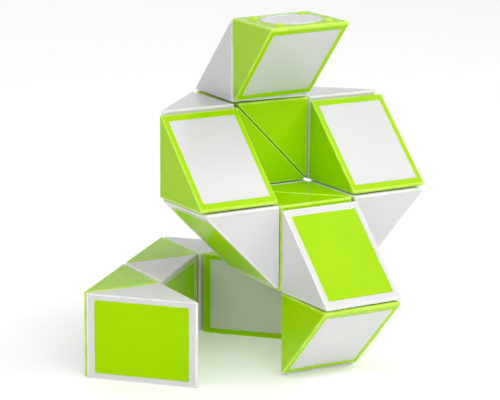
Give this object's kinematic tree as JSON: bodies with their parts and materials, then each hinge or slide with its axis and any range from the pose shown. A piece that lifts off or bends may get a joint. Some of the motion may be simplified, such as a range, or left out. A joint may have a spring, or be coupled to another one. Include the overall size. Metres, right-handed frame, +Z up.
{
  "type": "twisty snake puzzle",
  "caption": "Chain of half-cube wedges in two colours that twist on each other's square faces, stored folded into a free-standing sculpture.",
  "frame": {"origin": "middle of the folded snake's box, on the surface that its lowest layer stands on", "axes": "+Z up, +X to the right and +Y away from a person who faces the loop's front side"},
  "size_m": [0.0956, 0.0964, 0.0978],
  "materials": {
    "lime_plastic": "gloss moulded",
    "white_plastic": "gloss moulded"
  },
  "bodies": {
    "wedge_01": {"wedge_01_shell": "lime_plastic", "wedge_01_panel": "white_plastic", "head_cap": "white_plastic"},
    "wedge_02": {"wedge_02_shell": "white_plastic", "wedge_02_panel": "lime_plastic"},
    "wedge_03": {"wedge_03_shell": "lime_plastic", "wedge_03_panel": "white_plastic"},
    "wedge_04": {"wedge_04_shell": "white_plastic", "wedge_04_panel": "lime_plastic"},
    "wedge_05": {"wedge_05_shell": "lime_plastic", "wedge_05_panel": "white_plastic"},
    "wedge_06": {"wedge_06_shell": "white_plastic", "wedge_06_panel": "lime_plastic"},
    "wedge_07": {"wedge_07_shell": "lime_plastic", "wedge_07_panel": "white_plastic"},
    "wedge_08": {"wedge_08_shell": "white_plastic", "wedge_08_panel": "lime_plastic"},
    "wedge_09": {"wedge_09_shell": "lime_plastic", "wedge_09_panel": "white_plastic"},
    "wedge_10": {"wedge_10_shell": "white_plastic", "wedge_10_panel": "lime_plastic"},
    "wedge_11": {"wedge_11_shell": "lime_plastic", "wedge_11_panel": "white_plastic"},
    "wedge_12": {"wedge_12_shell": "white_plastic", "wedge_12_panel": "lime_plastic"},
    "wedge_13": {"wedge_13_shell": "lime_plastic", "wedge_13_panel": "white_plastic"},
    "wedge_14": {"wedge_14_shell": "white_plastic", "wedge_14_panel": "lime_plastic"},
    "wedge_15": {"wedge_15_shell": "lime_plastic", "wedge_15_panel": "white_plastic"},
    "wedge_16": {"wedge_16_shell": "white_plastic", "wedge_16_panel": "lime_plastic"},
    "wedge_17": {"wedge_17_shell": "lime_plastic", "wedge_17_panel": "white_plastic"},
    "wedge_18": {"wedge_18_shell": "white_plastic", "wedge_18_panel": "lime_plastic"},
    "wedge_19": {"wedge_19_shell": "lime_plastic", "wedge_19_panel": "white_plastic"},
    "wedge_20": {"wedge_20_shell": "white_plastic", "wedge_20_panel": "lime_plastic"},
    "wedge_21": {"wedge_21_shell": "lime_plastic", "wedge_21_panel": "white_plastic"},
    "wedge_22": {"wedge_22_shell": "white_plastic", "wedge_22_panel": "lime_plastic"},
    "wedge_23": {"wedge_23_shell": "lime_plastic", "wedge_23_panel": "white_plastic"},
    "wedge_24": {"wedge_24_shell": "white_plastic", "wedge_24_panel": "lime_plastic", "tail_cap": "lime_plastic"}
  },
  "joints": [
    {"name": "turn_01_02", "type": "hinge", "parent": "wedge_02", "child": "wedge_01", "pos_m": [0.00996, 0.00002, 0.08515], "axis": [-0.0628, -0.998, 0], "continuous": true},
    {"name": "turn_02_03", "type": "hinge", "parent": "wedge_03", "child": "wedge_02", "pos_m": [0.01072, 0.0122, 0.07295], "axis": [0, 0, 1], "continuous": true},
    {"name": "turn_03_04", "type": "hinge", "parent": "wedge_04", "child": "wedge_03", "pos_m": [0.02292, 0.0122, 0.06075], "axis": [-1, 0, 0], "range_deg": [-0.5, 0.5]},
    {"name": "turn_04_05", "type": "hinge", "parent": "wedge_05", "child": "wedge_04", "pos_m": [0.03512, 0, 0.06075], "axis": [0, 1, 0], "range_deg": [-0.3, 180]},
    {"name": "turn_05_06", "type": "hinge", "parent": "wedge_06", "child": "wedge_05", "pos_m": [0.03512, -0.0122, 0.04855], "axis": [0, 0, 1], "range_deg": [-270, 0.3]},
    {"name": "turn_06_07", "type": "hinge", "parent": "wedge_07", "child": "wedge_06", "pos_m": [0.02292, -0.0122, 0.03635], "axis": [1, 0, 0], "range_deg": [-0.3, 7]},
    {"name": "turn_07_08", "type": "hinge", "parent": "wedge_08", "child": "wedge_07", "pos_m": [0.01072, 0, 0.03635], "axis": [0, -1, 0], "range_deg": [-0.5, 0.3]},
    {"name": "turn_08_09", "type": "hinge", "parent": "wedge_09", "child": "wedge_08", "pos_m": [0.01072, 0.0122, 0.04855], "axis": [0, 0, -1], "range_deg": [-0.5, 0.3]},
    {"name": "turn_09_10", "type": "hinge", "parent": "wedge_10", "child": "wedge_09", "pos_m": [-0.00148, 0.0122, 0.06075], "axis": [1, 0, 0], "range_deg": [-0.3, 0.3]},
    {"name": "turn_10_11", "type": "hinge", "parent": "wedge_11", "child": "wedge_10", "pos_m": [-0.01368, 0, 0.06075], "axis": [0, 1, 0], "range_deg": [-178, 0.3]},
    {"name": "turn_11_12", "type": "hinge", "parent": "wedge_12", "child": "wedge_11", "pos_m": [-0.01368, -0.0122, 0.04855], "axis": [0, 0, 1], "range_deg": [-0.3, 225]},
    {"name": "turn_12_13", "type": "hinge", "parent": "wedge_13", "child": "wedge_12", "pos_m": [-0.00148, -0.0122, 0.03635], "axis": [-1, 0, 0], "range_deg": [-0.5, 0.5]},
    {"name": "turn_13_14", "type": "hinge", "parent": "wedge_14", "child": "wedge_13", "pos_m": [0.01072, -0.0244, 0.03635], "axis": [0, 1, 0], "range_deg": [-1, 1]},
    {"name": "turn_14_15", "type": "hinge", "parent": "wedge_15", "child": "wedge_14", "pos_m": [0.01072, -0.0366, 0.02415], "axis": [0, 0, 1], "continuous": true},
    {"name": "turn_15_16", "type": "hinge", "parent": "wedge_16", "child": "wedge_15", "pos_m": [0.01121, -0.02441, 0.01195], "axis": [-0.0401, -0.9992, 0], "range_deg": [-1, 1]},
    {"name": "turn_16_17", "type": "hinge", "parent": "wedge_16", "child": "wedge_17", "pos_m": [0.02389, -0.01271, 0.01195], "axis": [0.9992, -0.0401, 0], "range_deg": [-8.5, 3]},
    {"name": "turn_17_18", "type": "hinge", "parent": "wedge_17", "child": "wedge_18", "pos_m": [0.03657, -0.00101, 0.01195], "axis": [0.0401, 0.9992, 0], "range_deg": [-225, 5]},
    {"name": "turn_18_19", "type": "hinge", "parent": "wedge_18", "child": "wedge_19", "pos_m": [0.02487, 0.01167, 0.01195], "axis": [-0.9992, 0.0401, 0], "range_deg": [-12, 5]},
    {"name": "turn_19_20", "type": "hinge", "parent": "wedge_19", "child": "wedge_20", "pos_m": [0.01317, 0.02435, 0.01195], "axis": [0.0401, 0.9992, 0], "range_deg": [-12, 5]},
    {"name": "turn_20_21", "type": "hinge", "parent": "wedge_20", "child": "wedge_21", "pos_m": [0.00147, 0.03703, 0.01195], "axis": [-0.9992, 0.0401, 0], "range_deg": [-270, 5]},
    {"name": "turn_21_22", "type": "hinge", "parent": "wedge_21", "child": "wedge_22", "pos_m": [-0.01121, 0.02533, 0.01195], "axis": [-0.0401, -0.9992, 0], "range_deg": [-12, 5]},
    {"name": "turn_22_23", "type": "hinge", "parent": "wedge_22", "child": "wedge_23", "pos_m": [-0.02389, 0.01363, 0.01195], "axis": [-0.9992, 0.0401, 0], "continuous": true},
    {"name": "turn_23_24", "type": "hinge", "parent": "wedge_23", "child": "wedge_24", "pos_m": [-0.03657, 0.00193, 0.01195], "axis": [-0.0401, -0.9992, 0], "continuous": true}
  ]
}
